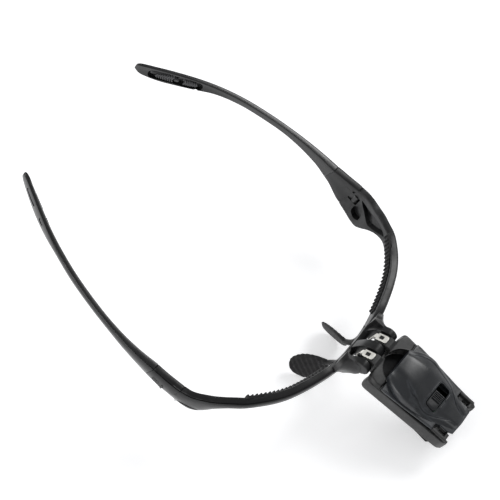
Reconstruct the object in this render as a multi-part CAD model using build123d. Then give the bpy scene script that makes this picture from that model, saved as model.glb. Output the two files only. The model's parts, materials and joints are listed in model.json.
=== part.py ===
from build123d import *
from math import cos, radians, sin
import os

# Head visor magnifier: a spectacle frame with detachable temples, a tilting lamp bracket that also
# takes a lens, and a clip-in lamp. Everything is drawn "level", as worn: X to the wearer's left,
# Z up, and F forward from the temple hinges (Y = -F). The last step tips the whole object forward
# into the pose in which it stands on a table: on its nose pads and the lamp's lower front edge.

# ---- driving dimensions (mm, degrees) ----
STAND_TILT = 23.25          # forward tip of the level frame when it stands on a table
WALL = 1.5                  # general moulded wall

HINGE_X = 72.3              # temple hinge pin, from the middle plane
HINGE_F = 1.9
FOLD_PIN_R = 0.8
FOLD_KNUCKLE_R = 2.0
LEAN_TOP = -7.0             # below this the outer face leans inwards,
LEAN_X = 71.0               # down to this at Z -22
SEAM_GAP = 0.3              # visible gap at the seams of block, frame and temple
OUTER_X = 76.0              # outer face of the frame at the temple hinges
SIDE_THICK = 4.9            # thickness of frame end, hinge block and temple root
BLOCK_REAR_F = -16.2        # seam between hinge block and temple
TONGUE_LOW = -10.6          # hinge tongue of the block, bottom and top
TONGUE_HIGH = -5.0
FRAME_REAR_LOW = -18.6      # lower edge of the frame end at the hinge seam

TILT_F = 56.0               # lamp tilt axis, parallel to X
TILT_Z = 19.5
TILT_PIN_R = 0.9
EAR_R = 4.2
KNUCKLE_R = 3.0
CLIP_SLOPE = 34.5           # the clips rise to the front
MID_EAR_X = 2.5             # half width of the middle ear
KNUCKLE_X = (2.9, 8.6)      # bracket knuckle, inner and outer side
SIDE_EAR_X = (9.0, 12.6)    # outer ear

WELL_F = 71.8               # round well of the bracket deck and the battery barrel in it
WELL_R = 10.3
WELL_WALL = 1.2             # wall round the rear of the well, below the deck
WELL_WALL_LOW = 12.5
BARREL_R = 9.9
DECK_LOW = 20.4
DECK_TOP = 22.3
SKIRT_LOW = 14.7
SKIRT_TOP = 22.2
COVER_LOW = 22.6
COVER_TOP = 24.1
HOUSING_LOW = 1.02         # underside of the lamp's light housing
CELL_R = 8.0                # coin cell, 16 mm across and 2 mm thick
CELL_H = 2.0

BARREL_LOW = 8.2            # battery barrel
BARREL_TOP = 17.4
CAVITY_R = 8.7
DOOR_R = 8.63
CELL_LOW = 10.3
BOARD_TOP = 18.0
LED_R = 2.5                 # 5 mm LEDs
LED_X = 4.2
LED_Z = 13.2
SCREW_X = 5.0
SCREW_F = 80.9
SCREW_R = 0.7
SCREW_HEAD_R = 1.3
SCREW_HEAD_Z = 15.5

STAND_SHIFT = (0, -3.535, 40.38)  # brings the tipped object over the origin, its lowest point at Z 0

STRIP_TEETH = 20
STRIP_SPAN = (0.335, 0.775)  # part of the brow's inner curve, end piece to bridge
BAND_Z = (-25, 20)          # height range that all side outlines lie in


def at(x, forward, z):
    """A point of the level frame."""
    return Vector(x, -forward, z)


def plan_line(points, start, end):
    """A smooth plan curve through (x, F) points; start and end are its (x, F) directions."""
    return Spline(
        *[(x, -f) for x, f in points],
        tangents=((start[0], -start[1]), (end[0], -end[1])),
    )


def plan_band(outer, inner, low, high):
    """The wall between two plan curves that run the same way, from low to high."""
    ends = [Line(outer @ 0, inner @ 0), Line(outer @ 1, inner @ 1)]
    face = make_face([outer, inner] + ends)
    return Pos(0, 0, low) * extrude(face, high - low)


def side_slab(edges, low_x, high_x):
    """A side-view outline, given as edges on the Y-Z plane, from low_x to high_x."""
    face = make_face(edges)
    return Pos(low_x, 0, 0) * extrude(Plane.YZ * face, high_x - low_x)


def side_poly(points, low_x, high_x):
    """A slab whose side view is a polygon of (F, z) points."""
    line = Polyline(*[(-f, z) for f, z in points], close=True)
    return Pos(low_x, 0, 0) * extrude(Plane.YZ * make_face(line), high_x - low_x)


def side_curve(points, start, end):
    """A smooth side-view curve through (F, z) points."""
    return Spline(
        *[(-f, z) for f, z in points],
        tangents=((-start[0], start[1]), (-end[0], end[1])),
    )


def rod_x(forward, z, radius, low_x, high_x):
    """A round rod along X."""
    return Pos(low_x, -forward, z) * extrude(Plane.YZ * Circle(radius), high_x - low_x)


def box(x0, x1, f0, f1, z0, z1):
    """A box from its limits in the level frame."""
    centre = ((x0 + x1) / 2, -(f0 + f1) / 2, (z0 + z1) / 2)
    return Pos(*centre) * Box(abs(x1 - x0), abs(f1 - f0), abs(z1 - z0))


def disc(x, forward, low, high, radius):
    """An upright cylinder."""
    return Pos(x, -forward, (low + high) / 2) * Cylinder(radius, high - low)


def mirrored(shape):
    return mirror(shape, about=Plane.YZ)


def plan_prism(points, low, high):
    """A prism over a plan polygon of (x, F) points."""
    line = Polyline(*[(x, -f) for x, f in points], close=True)
    return Pos(0, 0, low) * extrude(make_face(line), high - low)


# ---- curves of the frame ----
BROW_OUTER = plan_line(
    [(OUTER_X, 0), (71.4, 14.4), (62.2, 27.8), (51.4, 36.9), (38.0, 43.6), (21.4, 48.7), (0, 51)],
    (0, 1), (-1, 0),
)
BROW_INNER = plan_line(
    [(OUTER_X - SIDE_THICK, 0), (67.1, 12.3), (58.6, 25.0), (48.7, 33.2), (36.4, 39.5),
     (20.6, 44.4), (0, 46.8)],
    (0, 1), (-1, 0),
)
FRAME_TOP = side_curve(
    [(0, 0), (14.4, 3.2), (27.8, 9.0), (36.9, 12.2), (43.3, 14.2), (52, 14.6)], (1, 0.12), (1, 0)
)
FRAME_BOTTOM = side_curve([(17.6, -6.5), (23, -1.4), (30, 2.0), (38, 3.8), (52, 2.6)], (0.55, 1), (1, -0.1))


def end_piece_bottom():
    """Lower edge of the end piece, from the hinge seam to its pointed corner and up to the brow."""
    rear = side_curve([(0, FRAME_REAR_LOW), (6, -19.3), (12.6, -19.2)], (1, -0.25), (1, 0.1))
    rise = Line((-12.6, -19.2), (-17.6, -6.5))
    return [rear, rise, FRAME_BOTTOM]


def brow_half():
    """Brow bar and end piece of the wearer's left side."""
    wall = plan_band(BROW_OUTER, BROW_INNER, *BAND_Z)
    closing = [Line((0, 0), (0, FRAME_REAR_LOW)), Line(FRAME_TOP @ 1, FRAME_BOTTOM @ 1)]
    height = side_slab([FRAME_TOP] + end_piece_bottom() + closing, 0, OUTER_X + 2)
    return (wall & height) - outer_lean()


def outer_lean():
    """Wedge cut off the outside of the end pieces and blocks: their lower half leans inwards."""
    line = Polyline((OUTER_X, LEAN_TOP), (OUTER_X + 3, LEAN_TOP), (OUTER_X + 3, -22), (LEAN_X, -22),
                    close=True)
    return extrude(Plane.XZ * make_face(line), 20, both=True)


def side_openings():
    """Leaf pocket and oval pocket inside the end piece, and its outer vent."""
    leaf = make_face([
        side_curve([(5.4, -6.0), (11.5, -1.2), (18.8, 1.6)], (0.6, 1), (1, 0.2)),
        side_curve([(18.8, 1.6), (13.6, -7.5), (10.4, -12.5), (5.4, -6.0)], (-0.6, -1), (-0.2, 1)),
    ])
    leaf = Pos(58.6, 0, 0) * extrude(Plane.YZ * leaf, 13.2)
    oval = Pos(65.6, -5.0, -13.0) * extrude(Plane.YZ * (Rot(0, 0, 35) * Ellipse(3.0, 1.9)), 7.6)
    vent = Pos(70.1, -9.6, -14.0) * extrude(Plane.YZ * (Rot(0, 0, 12) * SlotOverall(7.0, 1.5)), 8)
    return [leaf & plan_band(BROW_OUTER, BROW_INNER, *BAND_Z).translate((-1.9, 0, 0)), oval, vent]


def fork_slot():
    """Room in the frame end for the hinge block's tongue, open to the rear and inwards."""
    reach = FOLD_KNUCKLE_R + 0.3
    slot = box(HINGE_X - 6, HINGE_X, -1, HINGE_F + reach, TONGUE_LOW - 0.15, TONGUE_HIGH + 0.15)
    slot += box(HINGE_X - 6, HINGE_X + reach, -1, HINGE_F, TONGUE_LOW - 0.15, TONGUE_HIGH + 0.15)
    return slot + disc(HINGE_X, HINGE_F, TONGUE_LOW - 0.15, TONGUE_HIGH + 0.15, reach)


def ear(low_x, high_x):
    """A frame ear that carries the lamp's tilt pin."""
    arm = side_poly([(47.0, 8.0), (48.0, 13.5), (50.2, 18.8), (53.2, 22.2), (55.3, 23.6),
                     (59.4, 17.0), (54.2, 11.6), (50.9, 6.0), (47.0, 6.0)], low_x, high_x)
    return arm + rod_x(TILT_F, TILT_Z, EAR_R, low_x, high_x)


def ear_gusset():
    """Flared root of an outer ear, from the ear's outer side to the brow's outer face."""
    outer = SIDE_EAR_X[1]
    return plan_prism([(outer - 1, 47), (21.0, 47.2), (16.4, 50.0), (14.0, 52.4), (outer, 55.0),
                       (outer - 1, 55.0)], 6.0, 12.5)


# ---- nose pads ----
PAD_TIP = at(14.6, 33.8, -25.4)
PAD_ROOT = at(7.0, 45.6, -7.6)
PAD_ALONG = (PAD_ROOT - PAD_TIP).normalized()
PAD_FACING = at(0.936, 0.09, 0.34)   # away from the nose
PAD_NORMAL = (PAD_FACING - PAD_ALONG * PAD_FACING.dot(PAD_ALONG)).normalized()
PAD_LENGTH = 21.5
PAD_THICK = 2.2


def pad_plane():
    """Plane of the left nose pad, its x axis running from tip to root."""
    return Plane(origin=PAD_TIP, x_dir=PAD_ALONG, z_dir=PAD_NORMAL)


def nose_pad():
    """Leaf shaped soft pad: broad near its tip, narrow at its root."""
    upper = Spline((-0.4, 0), (2.6, 5.8), (8.5, 8.0), (16.5, 5.4), (PAD_LENGTH, 1.6),
                   tangents=((0, 1), (1, -0.3)))
    lower = Spline((-0.4, 0), (2.2, -5.0), (8.5, -6.8), (16.5, -4.8), (PAD_LENGTH, -1.6),
                   tangents=((0, -1), (1, 0.3)))
    face = make_face([upper, lower, Line((PAD_LENGTH, 1.6), (PAD_LENGTH, -1.6))])
    leaf = extrude(pad_plane() * face, PAD_THICK / 2, both=True)
    return leaf - nose_arm()


def nose_arm():
    """Arm from the bridge down into the pad's root."""
    start = at(8.6, 48.4, 4.5)
    middle = at(7.0, 47.9, -2.5)
    end = PAD_ROOT - PAD_ALONG * 3.2
    path = ThreePointArc(start, middle, end)
    section = Plane(origin=start, z_dir=path % 0) * Circle(1.75)
    return sweep(section, path=path)


# ---- brow strips ----
def brow_strip():
    """Serrated rubber strip let into the inner face of the brow bar."""
    face_line = BROW_INNER
    back = offset_line(face_line, 1.0, *STRIP_SPAN)
    front = offset_line(face_line, -0.9, *STRIP_SPAN)
    strip = plan_band(back, front, 5.2, 10.4)
    for index in range(STRIP_TEETH):
        share = STRIP_SPAN[0] + (STRIP_SPAN[1] - STRIP_SPAN[0]) * (index + 0.5) / STRIP_TEETH
        spot = face_line @ share
        side = inward(face_line, share)
        strip += Pos(spot.X + side.X * 0.9, spot.Y + side.Y * 0.9, 7.8) * Cylinder(0.62, 5.2)
    return strip


def inward(line, share):
    """Unit normal of a plan curve, towards the head."""
    tangent = line % share
    return Vector(-tangent.Y, tangent.X) if -tangent.Y < 0 else Vector(tangent.Y, -tangent.X)


def offset_line(line, distance, start, end):
    """Part of a plan curve moved sideways; positive goes away from the head."""
    count = 7
    points = []
    for index in range(count):
        share = start + (end - start) * index / (count - 1)
        points.append(line @ share - inward(line, share) * distance)
    return Spline(*[(p.X, p.Y) for p in points])


def front_frame():
    """Brow bars, end pieces, bridge, ears and nose arms: one moulding."""
    half = brow_half() - fork_slot()
    inner_x = OUTER_X - SIDE_THICK
    half -= plan_prism([(inner_x - 1, -1), (inner_x + 0.8, -1), (inner_x + 0.8, 0), (inner_x - 0.1, 0.9),
                        (inner_x - 1, 0.9)], *BAND_Z)
    for cut in side_openings():
        half -= cut
    half -= disc(HINGE_X, HINGE_F, -20, 5, FOLD_PIN_R)
    half += ear(*SIDE_EAR_X)
    half += ear_gusset()
    half += nose_arm()
    half -= brow_strip()
    half -= box(-1, SIDE_EAR_X[0], 40, 60, 9.6, 20)
    whole = half + mirrored(half) + ear(-MID_EAR_X, MID_EAR_X)
    return whole - rod_x(TILT_F, TILT_Z, TILT_PIN_R, -20, 20)


# ---- temples ----
BLOCK_TOP = side_curve([(0, 0), (-8, -1.3), (BLOCK_REAR_F, -2.2)], (-1, -0.12), (-1, -0.1))
BLOCK_BOTTOM = side_curve([(0, FRAME_REAR_LOW), (-8, -15.8), (BLOCK_REAR_F, -12.6)], (-1, 0.3), (-1, 0.5))
SOCKET = (72.1, 74.1, -9.9, -4.3)   # temple plug socket: x and z limits
SOCKET_DEPTH = 9.5
TAB_F = (-13.2, -6.6)
TAB_Z = (-9.6, -5.4)


def hinge_block():
    """Block between frame and temple: hinge tongue in front, socket for the temple's plug behind."""
    edges = [BLOCK_TOP, BLOCK_BOTTOM, Line(BLOCK_TOP @ 0, BLOCK_BOTTOM @ 0)]
    edges += [Line(BLOCK_TOP @ 1, BLOCK_BOTTOM @ 1)]
    block = side_slab(edges, OUTER_X - SIDE_THICK, OUTER_X)
    block -= box(60, 80, -SEAM_GAP, 1, -20, 5)
    reach = FOLD_KNUCKLE_R
    tongue = disc(HINGE_X, HINGE_F, TONGUE_LOW, TONGUE_HIGH, reach)
    tongue += box(HINGE_X - 1.2, HINGE_X + reach, -2, HINGE_F, TONGUE_LOW, TONGUE_HIGH)
    block -= outer_lean()
    block += tongue
    block -= disc(HINGE_X, HINGE_F, -20, 5, FOLD_PIN_R + 0.05)
    x0, x1, z0, z1 = SOCKET
    block -= box(x0, x1, BLOCK_REAR_F - 1, BLOCK_REAR_F + SOCKET_DEPTH, z0, z1)
    block -= box(x1 - 0.1, OUTER_X + 1, *TAB_F, *TAB_Z)
    return block


def release_tab():
    """Press tab in the block's outer wall, with its finger lip."""
    f0, f1 = TAB_F
    z0, z1 = TAB_Z
    tab = box(OUTER_X - 1.2, OUTER_X + 0.1, f0 + 0.15, f1 - 0.15, z0 + 0.15, z1 - 0.15)
    for index in range(3):
        rib = f0 + 1.6 + index * 1.1
        tab += box(OUTER_X + 0.05, OUTER_X + 0.4, rib, rib + 0.5, z0 + 0.6, z1 - 0.6)
    return tab


TEMPLE_OUTER = plan_line(
    [(OUTER_X, BLOCK_REAR_F - SEAM_GAP), (74.8, -39.6), (68.0, -73.6), (56.3, -102.1), (44.5, -123)],
    (0.0, -1), (-0.5, -0.87),
)
TEMPLE_INNER = plan_line(
    [(OUTER_X - SIDE_THICK, BLOCK_REAR_F - SEAM_GAP), (71.6, -39.6), (65.0, -73.0), (53.6, -100.6),
     (41.8, -121.6)],
    (0.0, -1), (-0.5, -0.87),
)


def temple():
    """Thin springy temple with a plug in front and a broad tip that holds the rubber grip."""
    wall = plan_band(TEMPLE_OUTER, TEMPLE_INNER, *BAND_Z)
    rear = BLOCK_REAR_F - SEAM_GAP
    top = side_curve([(rear, -2.2), (-40, -2.9), (-74, -2.5), (-102, -3.6), (-120, -5.6)],
                     (-1, 0), (-1, -0.3))
    bottom = side_curve([(rear, -12.4), (-33, -8.9), (-60, -6.9), (-84, -7.0), (-100, -11.0),
                         (-112, -12.6), (-120, -12.0)], (-1, 0.3), (-1, 0.2))
    tip = ThreePointArc(top @ 1, (123.4, -8.7), bottom @ 1)
    outline = [top, bottom, tip, Line(top @ 0, bottom @ 0)]
    blade = wall & side_slab(outline, 30, 80)
    x0, x1, z0, z1 = SOCKET
    blade += box(x0 + 0.1, x1 - 0.1, BLOCK_REAR_F - 3, BLOCK_REAR_F + SOCKET_DEPTH - 0.5, z0 + 0.1, z1 - 0.1)
    return blade - ear_grip()


def ear_grip():
    """Ridged oval rubber grip on the inner face of the tip, keyed into the temple's two slots."""
    along = Vector(-0.487, 0.873, 0).normalized()
    normal = Vector(-0.873, -0.487, 0).normalized()
    plane = Plane(origin=at(51.6, -104.5, -8.2), x_dir=along, z_dir=normal)
    body = extrude(plane * SlotOverall(26, 5.4), 1.0) + extrude(plane * SlotOverall(26, 5.4), -0.7)
    keys = extrude(plane * (Pos(9.0, 0.4) * SlotOverall(9.5, 1.9)), -2.3)
    keys += extrude(plane * (Pos(-4.6, 0.4) * SlotOverall(3.4, 1.9)), -2.3)
    return body + keys


# ---- bracket ----
BRACKET_REAR_F = 61.2
BRACKET_FRONT_F = 106.5
SKIRT_REAR_X = 16.4
SKIRT_FRONT_X = 14.0
SKIRT_T = 1.3


def skirt():
    """Left side wall of the bracket, with its rounded rear and front corners."""
    outer = [(13.2, BRACKET_REAR_F), (15.4, BRACKET_REAR_F), (SKIRT_REAR_X, BRACKET_REAR_F + 2.0),
             (SKIRT_FRONT_X, BRACKET_FRONT_F), (12.2, BRACKET_FRONT_F + 2.4)]
    inner = [(11.2, BRACKET_FRONT_F + 1.4), (SKIRT_FRONT_X - SKIRT_T, BRACKET_FRONT_F - 0.6),
             (SKIRT_REAR_X - SKIRT_T, BRACKET_REAR_F + 2.6), (13.2, BRACKET_REAR_F + 2.6)]
    return plan_prism(outer + inner, SKIRT_LOW, SKIRT_TOP)


def hook():
    """L shaped finger at the bracket's front corner that holds the lamp's corner."""
    finger = box(11.6, 13.0, 100.1, 107.6, 19, 23.6)
    finger += box(8.9, 12.4, 106.2, 107.6, 19, 23.6)
    return finger


def lens_rail():
    """Half of the lens slot below the deck: a lens holder's tab slides up into it."""
    rail = box(0, 13.8, 62.2, 63.2, SKIRT_LOW - 3.2, DECK_LOW + 0.5)
    rail += box(12.2, 13.8, 63.1, 65.2, SKIRT_LOW - 3.2, DECK_LOW + 0.5)
    return rail


def knuckle():
    """Bracket knuckle between two frame ears, its top sloping back under the clip."""
    body = rod_x(TILT_F, TILT_Z, KNUCKLE_R, *KNUCKLE_X)
    body += side_poly([(52.5, 20.75), (57.4, 24.1), (61.4, 23.7), (63, 22.3), (63, 15.8),
                       (57.0, 15.7), (53.0, 17.0)], *KNUCKLE_X)
    return body - detent_clip()


def lamp_bracket():
    """Deck with the round well, side skirts, front hooks, knuckles and lens slot."""
    half = skirt() + hook() + knuckle()
    half += plan_prism([(0, 61.2), (13.4, 61.2), (15.6, 62.6), (14.9, 84.0), (0, 84.0)],
                       DECK_LOW, DECK_TOP)
    half += disc(0, WELL_F, WELL_WALL_LOW, DECK_LOW + 0.5, WELL_R + WELL_WALL) & box(0, 20, 60, 80, 0, 30)
    half += box(11.0, 13.2, 83, 107.2, DECK_LOW - 1.4, DECK_TOP)
    half += plan_prism([(2.2, 61.2), (13.2, 61.2), (14.6, 64.0), (14.4, 68.2), (2.2, 68.2)],
                       DECK_LOW, 23.7)
    half -= disc(0, WELL_F, 10, 30, WELL_R)
    half -= box(-1, 10.6, WELL_F, 83.9, 10, 30)
    half += lens_rail() - disc(0, WELL_F, 10, 30, WELL_R)
    whole = half + mirrored(half)
    whole -= box(-9.4, 9.4, 80, 90, 10, 30)
    return whole - rod_x(TILT_F, TILT_Z, TILT_PIN_R + 0.05, -20, 20)


def detent_clip():
    """Steel D plate over a boss, with a narrow tail bent down behind the knuckle."""
    middle_x = sum(KNUCKLE_X) / 2
    run, rise = cos(radians(CLIP_SLOPE)), sin(radians(CLIP_SLOPE))
    plane = Plane(at(middle_x, 54.5, 22.15), x_dir=(0, -run, rise), z_dir=(0, rise, run))
    plate = Rectangle(4.2, 4.0) + Pos(2.1, 0) * Circle(2.0) - Rectangle(2.0, 1.7)
    body = extrude(plane * (Pos(-0.4, 0) * plate), 0.45)
    body += box(middle_x - 1.25, middle_x + 1.25, 51.75, 52.6, 12.6, 21.3)
    return body


# ---- lamp ----
COVER_PLAN = [(0, 69.4), (15.5, 69.4), (13.1, 99.8), (8.6, 99.8), (8.6, 106.0), (7.6, 109.0), (0, 109.4)]


def hump_section(forward, half_width, top, base):
    """Arched cross section of the cover's hump, as a face square to F."""
    crown = Spline((-half_width, base), (-half_width * 0.72, base + (top - base) * 0.74), (0, top),
                   (half_width * 0.72, base + (top - base) * 0.74), (half_width, base))
    face = make_face([crown, Line((-half_width, base), (half_width, base))])
    return Plane(at(0, forward, 0), x_dir=(1, 0, 0), z_dir=(0, -1, 0)) * face


def hump(shrink):
    """Barrel shaped hump: high at the rear, fading out to the front."""
    stations = ((67.8, 8.9, 29.2), (80.0, 9.8, 30.0), (93.0, 9.4, 27.2), (106.0, 7.6, 24.6))
    faces = [hump_section(f, w - shrink, t - shrink, COVER_LOW) for f, w, t in stations]
    return loft(faces)


def lamp_cover():
    """Top shell of the lamp with its hump and the switch window."""
    half = plan_prism(COVER_PLAN, COVER_LOW, COVER_TOP)
    shell = half + mirrored(half) + hump(0)
    shell -= hump(WALL) & box(-20, 20, 69.2, 104, 0, 40)
    shell -= box(-7.1, 7.1, 88.6, 95.3, COVER_LOW - 1, 40)
    for side in (-1, 1):
        shell += disc(side * SCREW_X, SCREW_F, COVER_LOW, 27.4, 1.7)
        shell -= disc(side * SCREW_X, SCREW_F, COVER_LOW - 1, 26.2, SCREW_R)
    return shell


def switch_slider():
    """Ribbed slider of the light switch, at the wearer's right end of its window."""
    plate = box(-6.8, 2.6, 88.9, 95.0, 24.6, 26.2)
    for index in range(5):
        plate += box(-2.2 + index * 0.95, -1.7 + index * 0.95, 89.5, 94.4, 26.1, 26.8)
    return plate + box(-3.2, -1.0, 91.0, 92.9, 20.6, 24.7)


def switch_body():
    """Small slide switch under the slider."""
    case = box(-4.6, 4.6, 89.6, 94.3, BOARD_TOP, 22.2)
    return case - box(-3.4, 3.4, 90.7, 93.2, 20.0, 22.3)


def lamp_base():
    """Lower shell: battery barrel in the well, neck, and the light housing in front."""
    body = disc(0, WELL_F, BARREL_LOW, BARREL_TOP, BARREL_R)
    body += box(-9.0, 9.0, WELL_F, 90, BARREL_LOW + 0.8, 19.2)
    body += side_poly([(86, 9.0), (94, HOUSING_LOW + 1.4), (104.6, HOUSING_LOW), (107.6, 8.4),
                       (107.6, 19.2), (86, 19.2)], -8.5, 8.5)
    body += box(-8.3, 8.3, 79.0, 105.9, 19.0, COVER_LOW)
    body -= disc(0, WELL_F, 7.0, BARREL_TOP - WALL, CAVITY_R)
    body -= box(-7.3, 7.3, 84, 104.0, 9.4, BOARD_TOP)
    body -= box(-7.0, 7.0, 82.4, 104.4, BOARD_TOP - 0.05, COVER_LOW + 1)
    for side in (-1, 1):
        body -= led_axis(side, LED_R + 0.15, 98.0, 112)
        body -= disc(side * SCREW_X, SCREW_F, 0, SCREW_HEAD_Z, SCREW_HEAD_R + 0.2)
        body -= disc(side * SCREW_X, SCREW_F, 0, COVER_LOW + 1, SCREW_R)
    return body


def led_axis(side, radius, f0, f1):
    """A cylinder along F at one LED's place."""
    face = Plane(at(side * LED_X, f0, LED_Z), x_dir=(1, 0, 0), z_dir=(0, -1, 0)) * Circle(radius)
    return extrude(face, f1 - f0)


def leds():
    """Two clear 5 mm LEDs with their flanges."""
    parts = []
    for side in (-1, 1):
        lens = led_axis(side, LED_R, 100.4, 106.3) + Pos(*at(side * LED_X, 106.3, LED_Z)) * Sphere(LED_R)
        parts.append(lens + led_axis(side, 2.8, 99.4, 100.5))
    return parts


def led_holder():
    """Plate with two short sockets that the LEDs are pushed into."""
    plate = box(-7.1, 7.1, 96.9, 97.9, 9.8, 16.8)
    for side in (-1, 1):
        plate += led_axis(side, 2.8, 97.8, 99.3) - led_axis(side, 1.9, 97.7, 99.4)
    return plate


def circuit_board():
    return box(-6.7, 6.7, 84.4, 103.6, BOARD_TOP - 1.0, BOARD_TOP)


def coin_cells():
    """Two stacked coin cells."""
    low = CELL_LOW
    return [disc(0, WELL_F, low + i * CELL_H, low + (i + 1) * CELL_H, CELL_R) for i in range(2)]


def contact_spring():
    """Sprung upper battery contact."""
    low = CELL_LOW + 2 * CELL_H + 0.3
    return disc(0, WELL_F, low, low + 0.3, 3.4) + box(-1.4, 1.4, WELL_F + 2, WELL_F + 8.2, low, low + 0.3)


def contact_plate():
    """Side contact of the lower cell."""
    return box(-1.8, 1.8, WELL_F + CELL_R + 0.1, WELL_F + CELL_R + 0.4, CELL_LOW + 0.3, CELL_LOW + 4)


def battery_door():
    """Round coin-slot door under the battery barrel."""
    door = disc(0, WELL_F, BARREL_LOW - 0.2, BARREL_LOW + 1.7, DOOR_R)
    return door - box(-5.2, 5.2, WELL_F - 0.8, WELL_F + 0.8, 7.0, BARREL_LOW + 0.7)


def lamp_screws():
    """Two self-tapping screws that hold the base to the cover."""
    parts = []
    for side in (-1, 1):
        head = disc(side * SCREW_X, SCREW_F, SCREW_HEAD_Z - 1.0, SCREW_HEAD_Z, SCREW_HEAD_R)
        head -= box(side * SCREW_X - 1, side * SCREW_X + 1, SCREW_F - 0.2, SCREW_F + 0.2,
                    SCREW_HEAD_Z - 1.1, SCREW_HEAD_Z - 0.5)
        head -= box(side * SCREW_X - 0.2, side * SCREW_X + 0.2, SCREW_F - 1, SCREW_F + 1,
                    SCREW_HEAD_Z - 1.1, SCREW_HEAD_Z - 0.5)
        parts.append(head + disc(side * SCREW_X, SCREW_F, SCREW_HEAD_Z, 26.2, SCREW_R))
    return parts


def temple_pin():
    """Steel pin of a temple hinge."""
    return disc(HINGE_X, HINGE_F, FRAME_REAR_LOW + 0.8, -0.5, FOLD_PIN_R)


def tilt_pin():
    """Steel pin of the lamp tilt hinge."""
    return rod_x(TILT_F, TILT_Z, TILT_PIN_R, -SIDE_EAR_X[1] + 0.2, SIDE_EAR_X[1] - 0.2)


# ---- the object in its standing pose ----
def standing(shape):
    """Tip the level frame forward and set the object down, centred over the origin."""
    return Pos(*STAND_SHIFT) * (Rot(STAND_TILT, 0, 0) * shape)


def save(name, *solids):
    """Write one node; several solids make a group of identical pieces."""
    placed = [standing(solid) for solid in solids]
    shape = placed[0] if len(placed) == 1 else Compound(children=placed)
    shape.label = name
    export_step(shape, f"parts/{name}.step")
    return placed


def main():
    os.makedirs("parts", exist_ok=True)
    save("front_frame", front_frame())
    save("tilt_pin", tilt_pin())
    pairs = {
        "brow_strip": brow_strip(),
        "nose_pad": nose_pad(),
        "temple_pin": temple_pin(),
        "hinge_block": hinge_block(),
        "release_tab": release_tab(),
        "temple": temple(),
        "ear_grip": ear_grip(),
        "detent_clip": detent_clip(),
    }
    for name, solid in pairs.items():
        save(f"{name}_left", solid)
        save(f"{name}_right", mirrored(solid))
    singles = {
        "lamp_bracket": lamp_bracket(),
        "lamp_cover": lamp_cover(),
        "lamp_base": lamp_base(),
        "switch_slider": switch_slider(),
        "switch_body": switch_body(),
        "led_holder": led_holder(),
        "circuit_board": circuit_board(),
        "battery_contact_spring": contact_spring(),
        "battery_contact_plate": contact_plate(),
        "battery_door": battery_door(),
    }
    for name, solid in singles.items():
        save(name, solid)
    for side, solid in zip(("right", "left"), leds()):
        save(f"led_{side}", solid)
    for place, solid in zip(("lower", "upper"), coin_cells()):
        save(f"coin_cell_{place}", solid)
    save("lamp_screws", *lamp_screws())


if __name__ == "__main__":
    main()
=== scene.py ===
import json
import math

import bmesh
import bpy
import numpy as np
from mathutils import Matrix, Vector


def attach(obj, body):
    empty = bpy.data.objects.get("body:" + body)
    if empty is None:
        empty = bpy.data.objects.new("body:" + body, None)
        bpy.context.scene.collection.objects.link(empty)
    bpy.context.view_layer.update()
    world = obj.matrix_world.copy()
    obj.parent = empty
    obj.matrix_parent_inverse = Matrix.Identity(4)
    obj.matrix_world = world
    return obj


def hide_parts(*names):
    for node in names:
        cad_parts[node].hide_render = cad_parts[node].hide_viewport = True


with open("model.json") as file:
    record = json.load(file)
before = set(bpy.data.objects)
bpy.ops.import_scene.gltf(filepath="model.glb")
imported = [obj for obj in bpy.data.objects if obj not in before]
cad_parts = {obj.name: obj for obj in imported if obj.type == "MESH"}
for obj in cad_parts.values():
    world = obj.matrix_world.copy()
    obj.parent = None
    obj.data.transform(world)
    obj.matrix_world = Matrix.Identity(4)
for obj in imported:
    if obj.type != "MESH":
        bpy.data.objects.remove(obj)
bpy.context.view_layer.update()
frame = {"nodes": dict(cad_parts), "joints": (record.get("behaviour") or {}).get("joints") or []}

MM = 0.001


# ---- the level frame: x to the wearer's left, forward, up, in mm ----
def joint(name):
    """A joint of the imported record, by name."""
    return next(j for j in frame["joints"] if j["name"] == name)


LEVEL_UP = Vector(joint("left_temple_fold")["axis"])
LEVEL_BACK = Vector(joint("left_temple_release")["axis"])
TILT_PIVOT = (0, 56.0, 19.5)    # the lamp's tilt axis
HINGE = (72.3, 1.9)             # temple hinge pin: x, forward


def level_direction(x, forward, z):
    """A direction of the level frame in the row frame."""
    return Vector((1, 0, 0)) * x - LEVEL_BACK * forward + LEVEL_UP * z


def level_matrix():
    """Takes a level point (x, -forward, z) in mm to the row frame in metres."""
    origin = Vector(joint("lamp_tilt")["pos_m"]) - level_direction(*TILT_PIVOT) * MM
    columns = [Vector((1, 0, 0)) * MM, LEVEL_BACK * MM, LEVEL_UP * MM, origin]
    return Matrix([[c[row] for c in columns] for row in range(3)] + [[0, 0, 0, 1]])


LEVEL = level_matrix()


def at(x, forward, z):
    """A point of the level frame."""
    return Vector((x, -forward, z))


# ---- curves and outlines ----
def curve(points, count):
    """Points spread evenly along a smooth curve through the given ones, in any number of dimensions."""
    p = np.array(points, float)
    run = np.concatenate([[0], np.cumsum(np.linalg.norm(np.diff(p, axis=0), axis=1))])
    slope = np.gradient(p, run, axis=0)
    place = np.linspace(0, run[-1], count)
    k = np.clip(np.searchsorted(run, place, side="right") - 1, 0, len(run) - 2)
    h = (run[k + 1] - run[k])[:, None]
    u = (place - run[k])[:, None] / h
    start = (1 + 2 * u) * (1 - u) ** 2 * p[k] + u * (1 - u) ** 2 * h * slope[k]
    end = u * u * (3 - 2 * u) * p[k + 1] + u * u * (u - 1) * h * slope[k + 1]
    return start + end


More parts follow.
